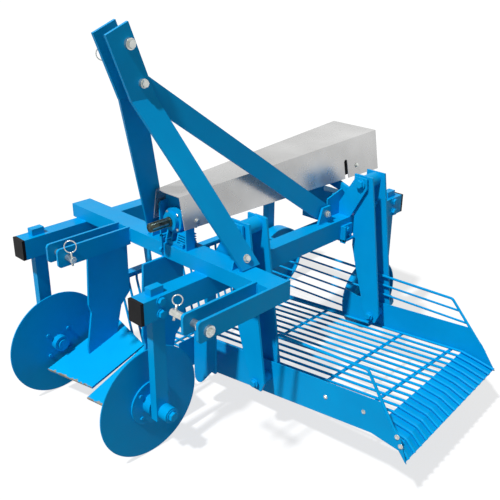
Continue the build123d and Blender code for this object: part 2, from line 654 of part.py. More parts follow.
# Rear wall of the sieve: low band all along and a high sheet at the discharge side
with BuildPart() as rear_wall:
    y0 = sieve_y1
    line = finger(y0)
    xa = rail_x + 44
    xm = x_end - 400
    xb = line[0][0]
    pts = [(xa, floor_at(xa, y0) - sole_drop), (xb, line[0][1] - sole_drop), (line[1][0], line[1][1] - sole_drop),
           (tip_x1, tip_z - sole_drop), (line[1][0] + 22, line[1][1] + 70), (xb + 18, line[0][1] + rear_high),
           (xm + 80, floor_at(xm + 80, y0) + rear_high), (xm + 24, floor_at(xm, y0) + rear_high + 20),
           (xm, floor_at(xm, y0) + rear_high + 20), (xm, floor_at(xm, y0) + 12), (xa, floor_at(xa, y0) + 12)]
    plate_y(y0, pts, sheet_t)
    disc_y_axis(pin_x, rock_y1 - rock_gap / 2 - rock_t - 12, pin_z, wall_pin_r, rock_gap + 2 * rock_t + 24)
    disc_y_axis(pin_x, rock_y1 - rock_gap / 2 + 6, pin_z, 22, y0 - rock_y1 + rock_gap / 2 - 6)
    disc_y_axis(pin_x, y0, pin_z, 22, rock_y1 + rock_gap / 2 - 6 - y0)
save(rear_wall, "sieve_rear_wall")

# Sheet under the fingers, with a lip at the tips
with BuildPart() as apron:
    for yy in (sieve_y0, sieve_y1):
        top_line = [(a - 5, b - 9) for a, b in finger(yy)]
        low_line = [(a - 7.5, b - 13.5) for a, b in finger(yy)]
        with BuildSketch(Plane(origin=(0, yy, 0), x_dir=(-1, 0, 0), z_dir=(0, 1, 0))):
            with BuildLine():
                Polyline(*[(-a, b) for a, b in top_line + low_line[::-1]], close=True)
            make_face()
    loft(ruled=True)
save(apron, "discharge_apron")

# Round rail over the front wall, bent down to the discharge lip
fence_r = 5.0
end_rod_r = 6.0
with BuildPart() as front_rail:
    y = sieve_y0 + end_rod_r + 0.2
    xl = x_end - 150
    xt = tip_x0 - 202
    foot = (knee_x0 - 5, knee_z0 + 27)
    rod([(xl, y, floor_at(xl, y) + 60), (xl, y, floor_at(xl, y) + 277), (xt, y, floor_at(xt, y) + 247),
         (knee_x0 - 39, y, knee_z0 + 63), (foot[0], y, foot[1])], end_rod_r, 20)
save(front_rail, "front_rail")

# Rear fence: a top rail bent down along the discharge end, and shorter rails below it
fence_top = 461.0        # top rail level at fence_x
fence_x = x_end - 575.0
fence_rise = 0.034
fence_step = 48.0
rail_count = 6
with BuildPart() as fence:
    y = sieve_y1 + sheet_t + end_rod_r + 0.2
    xa = rail_x + 12
    xt = tip_x1 - 248
    zt = fence_top + fence_rise * (xt - fence_x)
    xe = tip_x1 - 62
    ze = tip_z + 52
    fall = (xe - xt) / (zt - ze)
    rod([(xa - 1, y, fence_top + fence_rise * (xa - fence_x)), (xt, y, zt), (xe, y, ze)], end_rod_r, 20)
    for k in range(1, rail_count):
        z_left = fence_top - fence_step * k
        x1 = xt + fall * (fence_step * k)
        if k > 2:
            x1 = xm + 18
        rod([(xa, y, z_left + fence_rise * (xa - fence_x)), (x1, y, z_left + fence_rise * (x1 - fence_x))], fence_r)
    rod([(xa, y, fence_top - fence_step * rail_count), (xa, y, fence_top + fence_rise * (xa - fence_x))], end_rod_r)
save(fence, "rear_fence")

# Cross strips under the bars
strip_t = 6.0
strip_w = 16.0
with BuildPart() as strips:
    for xx, ya in ((x_end - 900, mouth_y), (x_end - 500, sieve_y0), (x_end - 40, sieve_y0), (tip_x1 - 215, sieve_y0)):
        for yy in (ya + 0.5, sieve_y1 - 0.5):
            low = [(xx + d, floor_at(xx + d, yy) - bar_r - 0.2) for d in (-strip_w / 2, strip_w / 2)]
            with BuildSketch(Plane(origin=(0, yy, 0), x_dir=(-1, 0, 0), z_dir=(0, 1, 0))):
                with BuildLine():
                    Polyline(*[(-a, b) for a, b in low + [(a, b - strip_t) for a, b in low[::-1]]], close=True)
                make_face()
        loft(ruled=True)
save(strips, "sieve_cross_strips")
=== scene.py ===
import json
import math

import bmesh
import bpy
from mathutils import Matrix, Vector


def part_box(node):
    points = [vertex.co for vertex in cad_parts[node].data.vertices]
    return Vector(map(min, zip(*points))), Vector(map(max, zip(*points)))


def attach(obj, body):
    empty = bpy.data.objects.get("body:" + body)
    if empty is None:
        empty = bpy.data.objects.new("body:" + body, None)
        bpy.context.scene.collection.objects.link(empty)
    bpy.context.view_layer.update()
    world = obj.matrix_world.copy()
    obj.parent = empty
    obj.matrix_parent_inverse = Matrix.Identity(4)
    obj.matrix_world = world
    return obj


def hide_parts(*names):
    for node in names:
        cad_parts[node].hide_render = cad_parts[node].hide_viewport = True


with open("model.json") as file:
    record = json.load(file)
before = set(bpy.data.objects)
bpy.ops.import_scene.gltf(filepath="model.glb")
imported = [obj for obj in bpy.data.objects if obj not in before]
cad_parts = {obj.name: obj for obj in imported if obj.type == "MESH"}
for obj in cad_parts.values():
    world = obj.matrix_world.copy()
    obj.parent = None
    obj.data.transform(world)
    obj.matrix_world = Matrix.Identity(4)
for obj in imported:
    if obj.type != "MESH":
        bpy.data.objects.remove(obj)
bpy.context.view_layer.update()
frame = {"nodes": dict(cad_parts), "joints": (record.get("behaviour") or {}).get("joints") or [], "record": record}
nodes = frame["nodes"]

# Origin of places, in metres: a plate's thickness past the near end of the cross tube, and its front face
PLATE_T = 0.012
cross_low, cross_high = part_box("front_cross_tube")
X_END = round(cross_high[0] + PLATE_T, 4)
Y_FACE = round(cross_low[1], 4)


def from_origin(point):
    # a place in metres as millimetres from X_END, from Y_FACE and from the ground
    return [round(1000 * (v - start), 1) for v, start in zip(point, (X_END, Y_FACE, 0.0))]


def spans(node):
    # where a node starts and ends along X, Y and Z, in the same millimetres
    low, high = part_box(node)
    return list(zip(from_origin(low), from_origin(high)))


def middle(node):
    return [(start + end) / 2 for start, end in spans(node)]


# Tubes, in millimetres
NEAR_IN, NEAR_OUT = spans("longitudinal_near")[0]
FAR_OUT, FAR_IN = spans("longitudinal_far")[0]
TUBE_BOTTOM, TUBE_TOP = spans("longitudinal_near")[2]
X_NEAR = middle("longitudinal_near")[0]
X_FAR = middle("longitudinal_far")[0]
CROSS_W = spans("front_cross_tube")[1][1]
CROSS_TOP = spans("front_cross_tube")[2][1]
FOOT_TOP = CROSS_TOP + 16    # foot of the front bearing

# Hitch: its pins and bolts lie across the machine, so their places are Y and Z
MOUNTS = {row["name"]: from_origin(row["pos_m"]) for row in frame["record"]["mounts"]}
X_HITCH, *TOP_PIN = MOUNTS["top_link"]
X_LOWER_NEAR, *LOWER_PIN = MOUNTS["lower_hitch_near"]
X_LOWER_FAR = MOUNTS["lower_hitch_far"][0]
PIN_REACH = spans("hitch_pin_near")[0][1] - X_LOWER_NEAR    # to the outer face of a pin's head
PLATE_MID = 37.5             # from the middle of a pair of hitch plates to the middle of one
MAST_X0, MAST_X1 = spans("mast_bolt")[0]
MAST_BOLT = middle("mast_bolt")[1:]
BRACE_BOLT = middle("brace_bolt")[1:]
LUG_X0, LUG_X1 = spans("brace_lug")[0]

# Axles as Y and Z, pivots and the shaft as X and Z
JOINTS = {row["name"]: from_origin(row["pos_m"]) for row in frame["joints"]}
DISC_AXLE = JOINTS["coulter_near_spin"][1:]
WHEEL_AXLE = JOINTS["wheel_near_spin"][1:]
STALK_YS = (DISC_AXLE[0] - 8, WHEEL_AXLE[0])    # the front stalks stand a little ahead of the axle
ROCK_X, ROCK_Z = JOINTS["rear_rocker_swing"][::2]
ROCK_YS = (JOINTS["front_rocker_swing"][1], JOINTS["rear_rocker_swing"][1])
PIN_X, PIN_Z = JOINTS["sieve_level"][::2]
SHAFT_X, SHAFT_Z = JOINTS["shaft_spin"][::2]

RIGHT = (1, 0, 0)
LEFT = (-1, 0, 0)
FRONT = (0, -1, 0)
UP = (0, 0, 1)

# Colours and surfaces
PAINT = (0.000, 0.365, 0.760)
PAINT_DARK = (0.000, 0.305, 0.670)
PAINT_CHIP = (0.02, 0.10, 0.20)
SIEVE_CHIP = (0.02, 0.12, 0.22)
# the frame's blue made lighter for the share blades: painted light where they face the sun
SHARE_PAINTED_SUNLIGHT = (0.000, 0.410, 0.790)
BARE_LIGHT = (0.42, 0.38, 0.30)
BARE_DARK = (0.20, 0.17, 0.13)
PLASTIC = (0.012, 0.012, 0.013)
PLASTIC_DARK = (0.007, 0.007, 0.008)
SHEET_LIGHT = (0.66, 0.66, 0.655)
SHEET_DARK = (0.44, 0.44, 0.435)
SHEET_GRAIN = (0.42, 0.42, 0.415)
WHITE = (1.0, 1.0, 1.0)
BLACK_TONE = (0, 0, 0)
SPECULAR = 0.07
SOFT_EDGE = 0.0014       # shaded rounding of sharp edges, metres
CHIPS_FROM = 0.80        # share of the noise above which paint is chipped
PAINT_PATCHES = 3.5      # scales of noise, from broad to fine
METAL_PATCHES = 60.0
PAINT_GRAIN = 240.0

# Edges, pins and fasteners, in metres
BEVEL = 0.0015
PIN_R = 0.014
TOP_PIN_R = 0.0125
PIN_HEAD_R = 0.021
PIN_HEAD_T = 0.012
WASHER_T = 0.003
WASHER_SINK = 0.0003     # how far a washer goes into what it lies on
HEAD_DEPTH = 0.7         # depth of a bolt's head as a share of its radius
BEAD_SIDES = 8
BEAD_STEP = 0.004        # length of a weld bead between two ripples

# Light
SUN_FROM = (0.06, -0.56, 0.82)
SUN_ENERGY = 3.4
SUN_DEGREES = 3.0
SKY_LIGHT = 0.26
FLOOR_GLOW = 0.73        # brings the lit floor to white where it is seen directly
FLOOR_HALF = 30.0
FLOOR_Z = -0.0005

# Camera: solved from the photo's straight edges
CAM_POS = Vector((X_END + 1.5610, Y_FACE - 1.7393, 2.0121))
CAM_RIGHT = Vector((0.71934, 0.69460, 0.00846))
CAM_DOWN = Vector((0.28584, -0.28488, -0.91495))
CAM_FORWARD = Vector((-0.63312, 0.66058, -0.40347))
LENS_MM = 52.81


def place_camera():
    data = bpy.data.cameras.new("camera")
    data.lens = LENS_MM
    data.sensor_width = 36.0
    data.sensor_fit = "HORIZONTAL"
    data.clip_end = 60.0
    cam = bpy.data.objects.new("camera", data)
    bpy.context.scene.collection.objects.link(cam)
    rot = Matrix((CAM_RIGHT, -CAM_DOWN, -CAM_FORWARD)).transposed()
    cam.matrix_world = Matrix.Translation(CAM_POS) @ rot.to_4x4()
    bpy.context.scene.camera = cam


# Shader nodes
def new_material(name):
    mat = bpy.data.materials.new(name)
    mat.use_nodes = True
    tree = mat.node_tree
    tree.nodes.clear()
    out = tree.nodes.new("ShaderNodeOutputMaterial")
    bsdf = tree.nodes.new("ShaderNodeBsdfPrincipled")
    tree.links.new(bsdf.outputs[0], out.inputs[0])
    return mat, tree, bsdf


def grey(value):
    return (value, value, value)


def noise(tree, scale, detail, rough=0.55):
    coords = tree.nodes.new("ShaderNodeTexCoord")
    tex = tree.nodes.new("ShaderNodeTexNoise")
    tex.inputs["Scale"].default_value = scale
    tex.inputs["Detail"].default_value = detail
    tex.inputs["Roughness"].default_value = rough
    tree.links.new(coords.outputs["Object"], tex.inputs["Vector"])
    return tex.outputs["Fac"]


def ramp(tree, fac, low, high, a, b):
    # colour a up to low, colour b from high on
    made = tree.nodes.new("ShaderNodeValToRGB")
    made.color_ramp.elements[0].position = low
    made.color_ramp.elements[1].position = high
    made.color_ramp.elements[0].color = (*a, 1.0)
    made.color_ramp.elements[1].color = (*b, 1.0)
    tree.links.new(fac, made.inputs[0])
    return made.outputs[0]


def feed(tree, socket, value):
    # a plain value goes on the socket, an output is linked to it
    if isinstance(value, tuple):
        socket.default_value = (*value, 1.0)
    elif isinstance(value, float):
        socket.default_value = value
    else:
        tree.links.new(value, socket)


def mix(tree, fac, a, b):
    made = tree.nodes.new("ShaderNodeMix")
    made.data_type = "RGBA"
    tree.links.new(fac, made.inputs["Factor"])
    feed(tree, made.inputs[6], a)
    feed(tree, made.inputs[7], b)
    return made.outputs[2]


def math_node(tree, kind, a, b):
    made = tree.nodes.new("ShaderNodeMath")
    made.operation = kind
    feed(tree, made.inputs[0], a)
    feed(tree, made.inputs[1], b)
    return made.outputs[0]


def bump(tree, bsdf, fac, strength, distance):
    made = tree.nodes.new("ShaderNodeBump")
    soft = tree.nodes.new("ShaderNodeBevel")
    soft.samples = 4
    soft.inputs["Radius"].default_value = SOFT_EDGE
    tree.links.new(soft.outputs[0], made.inputs["Normal"])
    made.inputs["Strength"].default_value = strength
    made.inputs["Distance"].default_value = distance
    tree.links.new(fac, made.inputs["Height"])
    tree.links.new(made.outputs[0], bsdf.inputs["Normal"])


# Materials
def painted(name, base, dark, chip, rough=(0.30, 0.46)):
    mat, tree, bsdf = new_material(name)
    tone = ramp(tree, noise(tree, PAINT_PATCHES, detail=3.0), 0.30, 0.72, dark, base)
    spots = noise(tree, 42.0, detail=6.0, rough=0.62)
    chips = ramp(tree, spots, CHIPS_FROM, CHIPS_FROM + 0.03, BLACK_TONE, WHITE)
    tree.links.new(mix(tree, chips, tone, chip), bsdf.inputs["Base Color"])
    gloss = ramp(tree, noise(tree, 14.0, detail=4.0), 0.25, 0.75, grey(rough[0]), grey(rough[1]))
    tree.links.new(gloss, bsdf.inputs["Roughness"])
    bump(tree, bsdf, noise(tree, PAINT_GRAIN, detail=3.0), strength=0.10, distance=0.0006)
    bsdf.inputs["Specular IOR Level"].default_value = SPECULAR
    return mat


def metal(name, base, dark, rough):
    mat, tree, bsdf = new_material(name)
    tone = ramp(tree, noise(tree, METAL_PATCHES, detail=5.0), 0.3, 0.75, dark, base)
    tree.links.new(tone, bsdf.inputs["Base Color"])
    gloss = ramp(tree, noise(tree, METAL_PATCHES / 2, detail=4.0), 0.3, 0.7, grey(rough[0]), grey(rough[1]))
    tree.links.new(gloss, bsdf.inputs["Roughness"])
    bsdf.inputs["Metallic"].default_value = 0.85
    bump(tree, bsdf, noise(tree, METAL_PATCHES * 4, detail=3.0), strength=0.12, distance=0.0004)
    return mat


def share_material(name, x0, y0, x1, y1):
    # paint worn to bare steel along the cutting edge, which runs from (x0, y0) to (x1, y1)
    mat, tree, bsdf = new_material(name)
    coords = tree.nodes.new("ShaderNodeTexCoord")
    split = tree.nodes.new("ShaderNodeSeparateXYZ")
    tree.links.new(coords.outputs["Object"], split.inputs[0])
    slope = (y1 - y0) / (x1 - x0)
    along = math_node(tree, "MULTIPLY", math_node(tree, "SUBTRACT", split.outputs[0], x0), slope)
    away = math_node(tree, "SUBTRACT", math_node(tree, "SUBTRACT", split.outputs[1], y0), along)
    ragged = math_node(tree, "MULTIPLY", noise(tree, 48.0, detail=5.0), -0.050)
    line = math_node(tree, "ADD", math_node(tree, "ADD", away, ragged), 0.022)
    worn = ramp(tree, line, -0.003, 0.003, WHITE, BLACK_TONE)
    # random tone between the frame's blue and the lighter one: painted light on the sunlit blades
    tone = ramp(tree, noise(tree, PAINT_PATCHES, detail=3.0), 0.30, 0.72, PAINT, SHARE_PAINTED_SUNLIGHT)
    bare = ramp(tree, noise(tree, 55.0, detail=5.0), 0.3, 0.7, BARE_DARK, BARE_LIGHT)
    tree.links.new(mix(tree, worn, tone, bare), bsdf.inputs["Base Color"])
    bsdf.inputs["Roughness"].default_value = 0.42
    bsdf.inputs["Specular IOR Level"].default_value = SPECULAR
    bump(tree, bsdf, noise(tree, PAINT_GRAIN, detail=3.0), strength=0.12, distance=0.0006)
    return mat


def cover_material(name):
    # zinc-coated sheet: fine grain and duller patches
    mat, tree, bsdf = new_material(name)
    tone = ramp(tree, noise(tree, 2.6, detail=3.0, rough=0.5), 0.32, 0.70, SHEET_DARK, SHEET_LIGHT)
    grain = ramp(tree, noise(tree, 160.0, detail=6.0, rough=0.7), 0.35, 0.75, BLACK_TONE, grey(0.22))
    tree.links.new(mix(tree, grain, tone, SHEET_GRAIN), bsdf.inputs["Base Color"])
    bsdf.inputs["Metallic"].default_value = 0.78
    gloss = ramp(tree, noise(tree, 7.0, detail=5.0, rough=0.6), 0.3, 0.7, grey(0.20), grey(0.34))
    tree.links.new(gloss, bsdf.inputs["Roughness"])
    bump(tree, bsdf, noise(tree, 6.0, detail=2.0), strength=0.05, distance=0.002)
    return mat


BLUE = painted("blue_paint", PAINT, PAINT_DARK, PAINT_CHIP)
SIEVE_BLUE = painted("sieve_paint", PAINT, PAINT_DARK, SIEVE_CHIP)
COVER = cover_material("cover_paint")
BLACK = painted("black_plastic", PLASTIC, PLASTIC_DARK, grey(0.03), rough=(0.38, 0.55))
ZINC = metal("zinc", (0.70, 0.72, 0.69), (0.50, 0.52, 0.49), rough=(0.16, 0.30))
RAW = metal("raw_steel", (0.16, 0.18, 0.13), (0.05, 0.06, 0.045), rough=(0.22, 0.42))
# lighter steel than the stub for its spline ribs: painted highlight along them
SPLINE_PAINTED_HIGHLIGHT = metal("spline_steel_painted_highlight", (0.42, 0.52, 0.46), (0.24, 0.32, 0.28), rough=(0.2, 0.35))
BY_SLOT = {"blue_paint": BLUE, "sieve_paint": SIEVE_BLUE, "cover_paint": COVER,
           "black_plastic": BLACK, "zinc": ZINC, "raw_steel": RAW}

# Cutting edges of the share blades: both corners, in metres from X_END and Y_FACE
SHARE_EDGES = {"share_blade_far": ("share_far", (-1.078, -0.318), (-0.812, -0.262)),
               "share_blade_near": ("share_near", (-0.800, -0.300), (-0.500, -0.250))}


def dress():
    for part in frame["record"]["subparts"]:
        obj = nodes[part["node"]]
        obj.data.materials.clear()
        mat = BY_SLOT[part["material_slot"]]
        if part["node"] in SHARE_EDGES:
            name, start, end = SHARE_EDGES[part["node"]]
            mat = share_material(name, X_END + start[0], Y_FACE + start[1], X_END + end[0], Y_FACE + end[1])
        obj.data.materials.append(mat)


# Small shapes
def place(x, y, z):
    # millimetres from X_END, from Y_FACE and from the ground
    return Vector((X_END + x / 1000, Y_FACE + y / 1000, z / 1000))


def mesh_object(name, bm, mat, body, smooth=False):
    mesh = bpy.data.meshes.new(name)
    bm.to_mesh(mesh)
    bm.free()
    mesh.materials.append(mat)
    if smooth:
        for face in mesh.polygons:
            face.use_smooth = True
    obj = bpy.data.objects.new(name, mesh)
    bpy.context.scene.collection.objects.link(obj)
    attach(obj, body)
    return obj


def frame_at(where, axis):
    # matrix with its Z along the axis
    return Matrix.Translation(where) @ Vector(axis).to_track_quat("Z", "Y").to_matrix().to_4x4()


def loop_at(bm, base, radius, z, sides, turn=0.0):
    made = []
    for k in range(sides):
        a = turn + 2 * math.pi * k / sides
        made.append(bm.verts.new(base @ Vector((radius * math.cos(a), radius * math.sin(a), z))))
    return made


def skin(bm, loops):
    # the sides and both ends of a stack of loops
    sides = len(loops[0])
    for low, high in zip(loops, loops[1:]):
        for k in range(sides):
            bm.faces.new((low[k], low[(k + 1) % sides], high[(k + 1) % sides], high[k]))
    bm.faces.new(loops[-1])
    bm.faces.new(loops[0][::-1])


def prism(bm, where, axis, radius, length, sides, bevel, turn=0.0):
    # bar or bolt head with its far edge bevelled
    base = frame_at(where, axis)
    levels = ((0.0, radius), (length - bevel, radius), (length, radius - bevel))
    skin(bm, [loop_at(bm, base, r, z, sides, turn) for z, r in levels])


def ring(bm, where, axis, major, minor, steps=36, sides=10):
    base = frame_at(where, axis)
    loops = []
    for i in range(steps):
        a = 2 * math.pi * i / steps
        loop = []
        for k in range(sides):
            b = 2 * math.pi * k / sides
            r = major + minor * math.cos(b)
            loop.append(bm.verts.new(base @ Vector((r * math.cos(a), r * math.sin(a), minor * math.sin(b)))))
        loops.append(loop)
    for low, high in zip(loops, loops[1:] + loops[:1]):
        for k in range(sides):
            bm.faces.new((low[k], high[k], high[(k + 1) % sides], low[(k + 1) % sides]))


def soften(bm, edges):
    bmesh.ops.bevel(bm, geom=edges, offset=BEVEL, segments=2, affect="EDGES", profile=0.5)


def box(bm, x0, x1, y0, y1, z0, z1, bevelled=True):
    made = bmesh.ops.create_cube(bm, size=1.0)["verts"]
    low = place(x0, y0, z0)
    high = place(x1, y1, z1)
    for v in made:
        v.co = Vector([low[k] if v.co[k] < 0 else high[k] for k in range(3)])
    if bevelled:
        soften(bm, list({e for v in made for e in v.link_edges}))


def slab(bm, outline, y0, y1):
    # plate across Y from an outline of X and Z
    low, high = [[bm.verts.new(place(x, y, z)) for x, z in outline] for y in (y0, y1)]
    count = len(outline)
    faces = [bm.faces.new(low), bm.faces.new(high[::-1])]
    for k in range(count):
        faces.append(bm.faces.new((low[(k + 1) % count], low[k], high[k], high[(k + 1) % count])))
    bmesh.ops.recalc_face_normals(bm, faces=faces)
    soften(bm, [e for f in faces[:2] for e in f.edges])


# Bolts
FLANGE_FACE = 11         # outer face of a hub's flange, from the middle plane of its disc
DISC_FACE = 3            # inner face of the disc, from the same plane
AXLE_END = 64            # end of an axle's boss, from the middle of the tube above
PIVOT_NUT = 74           # nut on a rocker's upper pivot, from the middle of the rocker
WALL_PIN_NUT = 64        # nut on its lower pin
SIEVE_FRONT = 200        # outer face of the front wall of the sieve
BEARING_FACE = 24        # front face of the front bearing
CLAMP_T = 12             # side plate of the clamp on the near tube


def on_circle(u, v, radius, start):
    # four places on a circle, the first one at the angle start in degrees
    turns = [math.radians(start + 90 * k) for k in range(4)]
    return [(u + radius * math.cos(a), v + radius * math.sin(a)) for a in turns]


def single_bolts():
    # place, direction that the head faces, head radius, washer radius, body, material
    rows = [((MAST_X1, *TOP_PIN), RIGHT, 15, 0, "frame", "zinc"),
            ((MAST_X1, *MAST_BOLT), RIGHT, 14, 0, "frame", "zinc"),
            ((MAST_X0, *MAST_BOLT), LEFT, 14, 0, "frame", "zinc"),
            ((LUG_X1 + 10, *BRACE_BOLT), RIGHT, 13, 0, "frame", "zinc"),
            ((X_LOWER_NEAR + PIN_REACH, *LOWER_PIN), RIGHT, 13, 0, "frame", "zinc"),
            ((X_LOWER_FAR - PIN_REACH, *LOWER_PIN), LEFT, 13, 0, "frame", "zinc")]
    # feet of the mast legs
    for side in (1, -1):
        rows.append(((X_HITCH + side * 267.5, 62, 871), (side * 0.936, 0, 0.352), 13, 17, "frame", "zinc"))
    # clamp on the side of the near tube
    for y, z in ((884, 716), (898, 684)):
        rows.append(((NEAR_OUT + CLAMP_T, y, z), RIGHT, 11, 15, "frame", "blue_paint"))
    # rear and front screw of the cover
    rows.append(((-441, 1093, 955), (1, 0, 0.12), 8, 12, "frame", "zinc"))
    rows.append(((-455, 60, 948), (1, 0, 0.2), 7, 10, "frame", "zinc"))
    # front wall of the sieve
    for x, z, head, washer in ((452, 318, 7, 10), (470, 286, 7, 10), (120, 330, 6, 9), (300, 352, 6, 9)):
        rows.append(((x, SIEVE_FRONT, z), FRONT, head, washer, "sieve", "zinc"))
    return rows


def repeated_bolts():
    # rows as above
    rows = []
    # clamp bolts of the stalks
    for y in STALK_YS:
        for z in (TUBE_TOP - 19, TUBE_BOTTOM + 20):
            for x, side in ((NEAR_OUT, 1), (FAR_OUT, -1)):
                rows.append(((x, y, z), (side, 0, 0), 17, 22, "frame", "blue_paint"))
    # hubs of the discs: on the flange, and on the inner face of the disc
    for joint, body, inward in (("coulter_near_spin", "coulter_near", -1),
                                ("coulter_far_spin", "coulter_far", 1)):
        x = JOINTS[joint][0]
        for y, z in on_circle(*DISC_AXLE, radius=74, start=45):
            rows.append(((x - inward * FLANGE_FACE, y, z), (-inward, 0, 0), 9, 0, body, "blue_paint"))
            rows.append(((x + inward * DISC_FACE, y, z), (inward, 0, 0), 9, 0, body, "blue_paint"))
    # hubs of the wheels
    for joint, body, inward in (("wheel_near_spin", "support_wheel_near", -1),
                                ("wheel_far_spin", "support_wheel_far", 1)):
        x = JOINTS[joint][0]
        for y, z in on_circle(*WHEEL_AXLE, radius=68, start=20):
            rows.append(((x - inward * FLANGE_FACE, y, z), (-inward, 0, 0), 9, 0, body, "blue_paint"))
    # axle ends
    for axle in (DISC_AXLE, WHEEL_AXLE):
        for x, side in ((X_NEAR, 1), (X_FAR, -1)):
            rows.append(((x + side * AXLE_END, *axle), (side, 0, 0), 20, 26, "frame", "blue_paint"))
    # upper pivots and lower pins of the rockers
    for y in ROCK_YS:
        for side in (-1, 1):
            out = (0, side, 0)
            rows.append(((ROCK_X, y + side * PIVOT_NUT, ROCK_Z), out, 19, 25, "frame", "blue_paint"))
            rows.append(((PIN_X, y + side * WALL_PIN_NUT, PIN_Z), out, 15, 21, "sieve", "blue_paint"))
    # front bearing and its foot
    for x, z in on_circle(SHAFT_X, SHAFT_Z, radius=44, start=45):
        rows.append(((x, BEARING_FACE, z), FRONT, 7, 0, "frame", "zinc"))
    for dx in (-60, 60):
        for y in (20, 76):
            rows.append(((SHAFT_X + dx, y, FOOT_TOP), UP, 9, 12, "frame", "blue_paint"))
    return rows


def bolts():
    for count, (where, axis, head, washer, body, slot_name) in enumerate(single_bolts() + repeated_bolts()):
        bm = bmesh.new()
        start = place(*where)
        out = Vector(axis).normalized()
        if washer:
            prism(bm, start - out * WASHER_SINK, axis, washer / 1000, WASHER_T, sides=28, bevel=0.0006)
            start = start + out * 0.0025
        prism(bm, start, axis, head / 1000, head * HEAD_DEPTH / 1000, sides=6, bevel=0.0012,
              turn=0.3 + 0.7 * count)
        mesh_object("bolt_%02d" % count, bm, BY_SLOT[slot_name], body)


# Hitch pins
def far_hitch_pin():
    # the far pin goes in from the other side, with its free end and ring towards the camera
    bm = bmesh.new()
    head = place(X_LOWER_FAR - PIN_REACH, *LOWER_PIN)
    prism(bm, head, RIGHT, PIN_R, length=0.143, sides=48, bevel=0.002)
    prism(bm, head, RIGHT, PIN_HEAD_R, length=PIN_HEAD_T, sides=48, bevel=BEVEL)
    obj = mesh_object("hitch_pin_turned", bm, ZINC, "frame")
    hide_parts("hitch_pin_far")


def pin_sleeve():
    bm = bmesh.new()
    prism(bm, place(X_LOWER_NEAR + 1.5, *LOWER_PIN), RIGHT, PIN_HEAD_R, length=0.026, sides=40, bevel=BEVEL)
    mesh_object("pin_sleeve", bm, ZINC, "frame")


def pin_ends():
    # free ends of the near hitch pin and of the top pin, long enough for their linch pins
    bm = bmesh.new()
    prism(bm, place(X_LOWER_NEAR - 43, *LOWER_PIN), LEFT, PIN_R, length=0.098, sides=40, bevel=0.002)
    prism(bm, place(X_HITCH - 60, *TOP_PIN), LEFT, TOP_PIN_R, length=0.072, sides=40, bevel=0.002)
    mesh_object("pin_ends", bm, ZINC, "frame")


# Linch pins: name, place, ring radius, lean of the cross pin
RING_FACES = Vector((0.70, -0.62, 0.35))
LINCH_PINS = (
    ("top", (X_HITCH - 118, *TOP_PIN), 22.0, (0.10, 0.05, -1.0)),
    ("near", (X_LOWER_NEAR - 124, *LOWER_PIN), 18.0, (-0.15, 0.45, 1.0)),
    ("far", (X_LOWER_FAR + 74, *LOWER_PIN), 24.0, (-0.25, 0.10, 1.0)),
)


def linch_pins():
    # a cross pin through the end of a pin, and a wire ring folded over it
    for name, where, radius, lean in LINCH_PINS:
        bm = bmesh.new()
        centre = place(*where)
        axis = Vector(lean).normalized()
        prism(bm, centre - axis * 0.026, axis, 0.0045, length=0.056, sides=14, bevel=0.001)
        facing = (RING_FACES - axis * RING_FACES.dot(axis)).normalized()
        ring(bm, centre + axis * (0.028 + radius / 1000), facing, major=radius / 1000, minor=0.0024)
        mesh_object("linch_" + name, bm, ZINC, "frame", smooth=True)


# Plates and brackets
CLEAR = 0.2              # between a plate and the tube above it, in millimetres

# Guard plate: outline of X and Z, from its upper corner round the foot
GUARD = [(-427, 440), (-520, 430), (-523, 200), (-520, 176), (-511, 164), (-497, 160), (-481, 166),
         (-466, 182), (-404, 262), (-404, 440)]


def guard():
    # plate behind an upright bar that hangs from the near tube, between the disc and the mouth of the sieve
    plate_y = 86
    bar_x0 = GUARD[0][0]
    bm = bmesh.new()
    slab(bm, GUARD, plate_y, plate_y + 8)
    box(bm, bar_x0, bar_x0 + 51, plate_y - 12, plate_y, 262, TUBE_BOTTOM - CLEAR)
    mesh_object("mouth_guard", bm, BLUE, "frame")


def tube_clamp():
    # side plate, flange and lower plate round the near tube, ahead of the rear rocker
    y0 = 846
    y1 = 922
    z0 = TUBE_BOTTOM - 19
    z1 = TUBE_TOP - 28
    reach = NEAR_OUT + 28
    bm = bmesh.new()
    box(bm, NEAR_OUT, NEAR_OUT + CLAMP_T, y0, y1, z0, z1)
    box(bm, NEAR_OUT + CLAMP_T, reach, y0, y0 + 10, z0, z1)
    box(bm, NEAR_IN - 5, reach, y0, y1, TUBE_BOTTOM - 12, TUBE_BOTTOM - CLEAR)
    mesh_object("tube_clamp", bm, BLUE, "frame")


def stub_splines():
    # six ribs on the shaft stub, a little narrower at the top than at the foot
    foot = 0.0160
    top = 0.0190
    section = ((-0.0036, foot), (0.0036, foot), (0.0030, top), (-0.0030, top))
    middle = place(SHAFT_X, 0, SHAFT_Z)
    bm = bmesh.new()
    for k in range(6):
        a = 2 * math.pi * k / 6
        out = Vector((math.cos(a), 0, math.sin(a)))
        side = Vector((-math.sin(a), 0, math.cos(a)))
        ends = [[bm.verts.new(middle + side * u + out * v + Vector((0, y, 0))) for u, v in section]
                for y in (-0.0915, -0.012)]
        skin(bm, ends)
    mesh_object("stub_splines", bm, SPLINE_PAINTED_HIGHLIGHT, "shaft")


def clamp_plates():
    # stack of four plates round a block, beside the front bearing
    plate_t = 5
    pitch = 11
    bm = bmesh.new()
    for k in range(4):
        low = FOOT_TOP + plate_t + pitch * k
        box(bm, -524, -470, 14, 70, low, low + plate_t)
    box(bm, -508, -486, 28, 56, FOOT_TOP, FOOT_TOP + 50)
    mesh_object("clamp_plates", bm, BLUE, "frame")


def shaft_hook():
    # strip on the front face of the cross tube, with an arm back above the tube and a round lower end
    x = SHAFT_X - 47
    low = 800
    high = 866
    bm = bmesh.new()
    box(bm, x, x + 12, -9, 0, low, high)
    box(bm, x, x + 12, -9, 30, high - 8, high)
    prism(bm, place(x, -6, low), RIGHT, 0.011, length=0.012, sides=24, bevel=BEVEL)
    mesh_object("shaft_hook", bm, BLUE, "frame")


